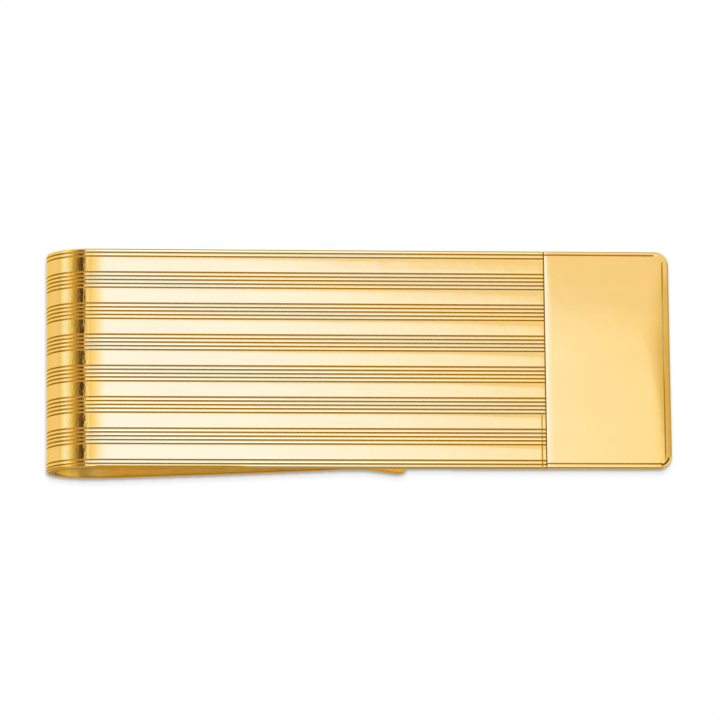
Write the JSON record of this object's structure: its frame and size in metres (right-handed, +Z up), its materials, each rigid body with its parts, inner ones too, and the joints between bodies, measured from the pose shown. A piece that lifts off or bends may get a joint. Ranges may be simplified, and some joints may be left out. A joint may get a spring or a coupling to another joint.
{
  "type": "money clip",
  "caption": "Spring money clip folded from one wide gold-plated strip: lined front leaf, plain engraving plate, rounded fold and a bowed back leaf that pinches folded notes.",
  "frame": {"origin": "bottom centre of the whole clip's box, on the table the clip lies on", "axes": "+X along the clip from the folded end to the open end, +Y across the strip, +Z up from the table; the front leaf is on top and slopes down 6.07 degrees towards +X"},
  "size_m": [0.0512, 0.018, 0.007],
  "materials": {
    "lined_gold": "polished gold plate with rolled lines",
    "polished_gold": "mirror-polished gold plate",
    "brushed_gold": "fine-brushed gold plate"
  },
  "bodies": {
    "back_leaf": {"back_leaf": "brushed_gold"},
    "fold_heel": {"fold_heel": "lined_gold"},
    "fold_crown_lower": {"fold_crown_lower": "lined_gold"},
    "fold_crown_upper": {"fold_crown_upper": "lined_gold"},
    "fold_shoulder": {"fold_shoulder": "lined_gold"},
    "front_leaf": {"front_leaf": "lined_gold", "engraving_plate": "polished_gold"}
  },
  "joints": [
    {"name": "heel_flex", "type": "hinge", "parent": "back_leaf", "child": "fold_heel", "pos_m": [-0.02246, 0, 0.00006], "axis": [0, -1, 0], "range_deg": [0, 2.6]},
    {"name": "lower_crown_flex", "type": "hinge", "parent": "fold_heel", "child": "fold_crown_lower", "pos_m": [-0.02481, 0, 0.00135], "axis": [0, -1, 0], "range_deg": [0, 2.6]},
    {"name": "crown_flex", "type": "hinge", "parent": "fold_crown_lower", "child": "fold_crown_upper", "pos_m": [-0.02557, 0, 0.00392], "axis": [0, -1, 0], "range_deg": [0, 2.6]},
    {"name": "upper_crown_flex", "type": "hinge", "parent": "fold_crown_upper", "child": "fold_shoulder", "pos_m": [-0.02428, 0, 0.00627], "axis": [0, -1, 0], "range_deg": [0, 2.6]},
    {"name": "front_leaf_opening", "type": "hinge", "parent": "fold_shoulder", "child": "front_leaf", "pos_m": [-0.02172, 0, 0.00703], "axis": [0, -1, 0], "range_deg": [0, 2.6], "stiffness_Nm_per_rad": 0.02}
  ],
  "couplings": [
    {"joint": "heel_flex", "follows": "front_leaf_opening", "ratio": 1},
    {"joint": "lower_crown_flex", "follows": "front_leaf_opening", "ratio": 1},
    {"joint": "crown_flex", "follows": "front_leaf_opening", "ratio": 1},
    {"joint": "upper_crown_flex", "follows": "front_leaf_opening", "ratio": 1}
  ]
}
